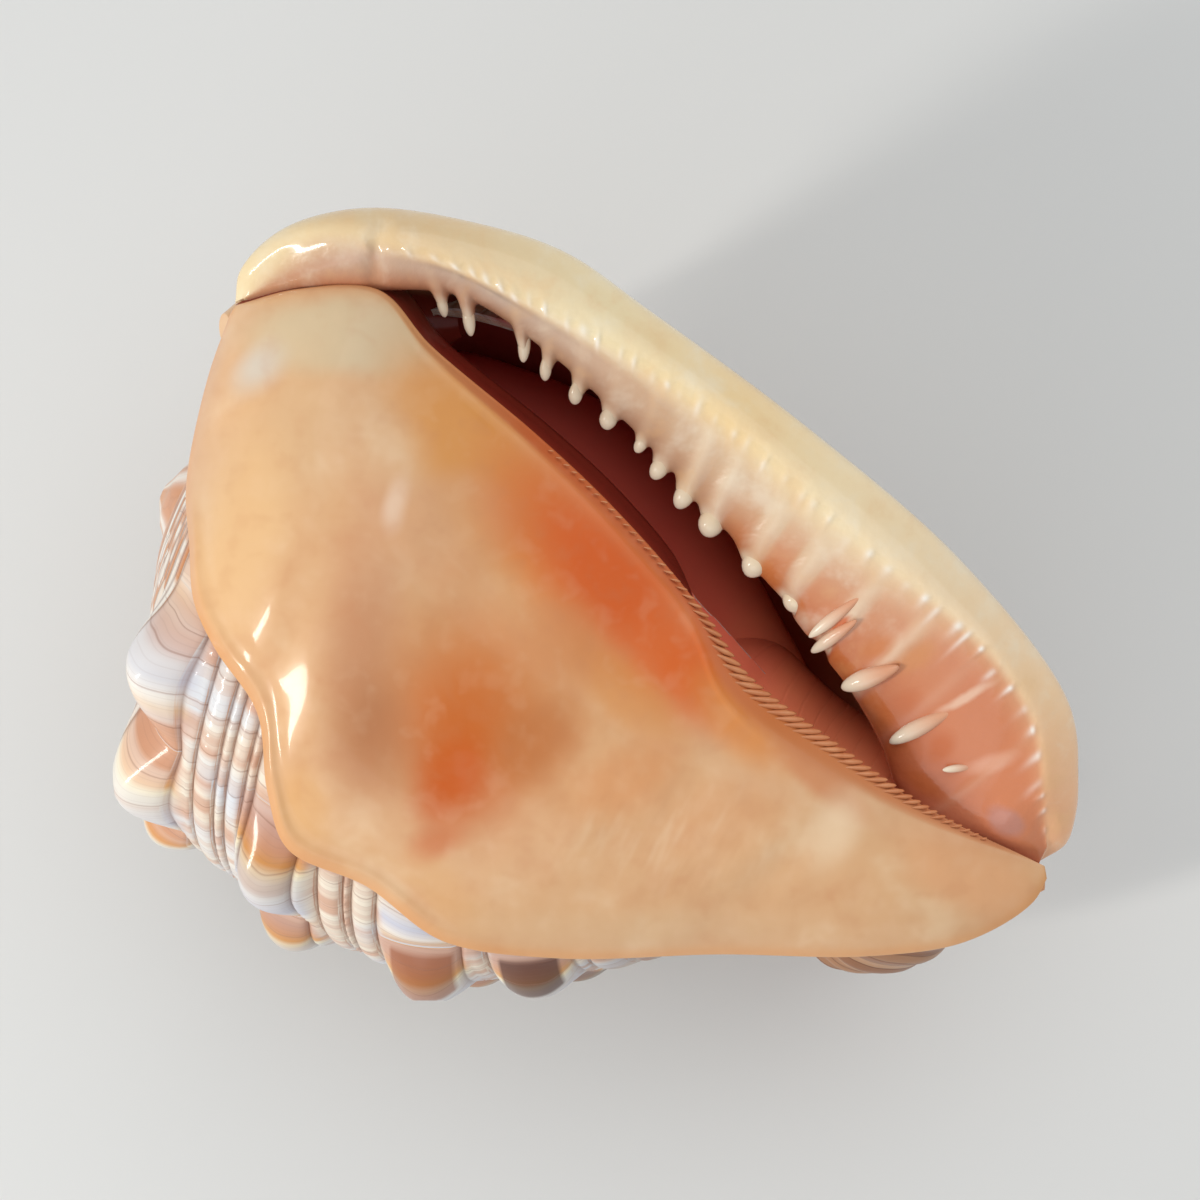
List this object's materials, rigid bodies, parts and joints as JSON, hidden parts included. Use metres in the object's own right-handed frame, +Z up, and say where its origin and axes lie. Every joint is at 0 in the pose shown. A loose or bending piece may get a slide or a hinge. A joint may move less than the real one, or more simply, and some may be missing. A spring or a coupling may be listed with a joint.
{
  "type": "helmet shell",
  "caption": "Large knobbed helmet shell lying on its back: low spire, smooth shield, thick rolled outer lip with teeth, and a narrow slanting aperture between them.",
  "frame": {"origin": "middle of the shell's footprint, on the plane that it rests on", "axes": "+X from the spire towards the canal end, +Y towards the side of the thick outer lip, +Z up, out of the aperture"},
  "size_m": [0.1592, 0.1258, 0.1025],
  "materials": {
    "shell": "glossy, cream to salmon, with white and brown knobs behind"
  },
  "bodies": {
    "root": {"shell": "shell"}
  },
  "joints": []
}
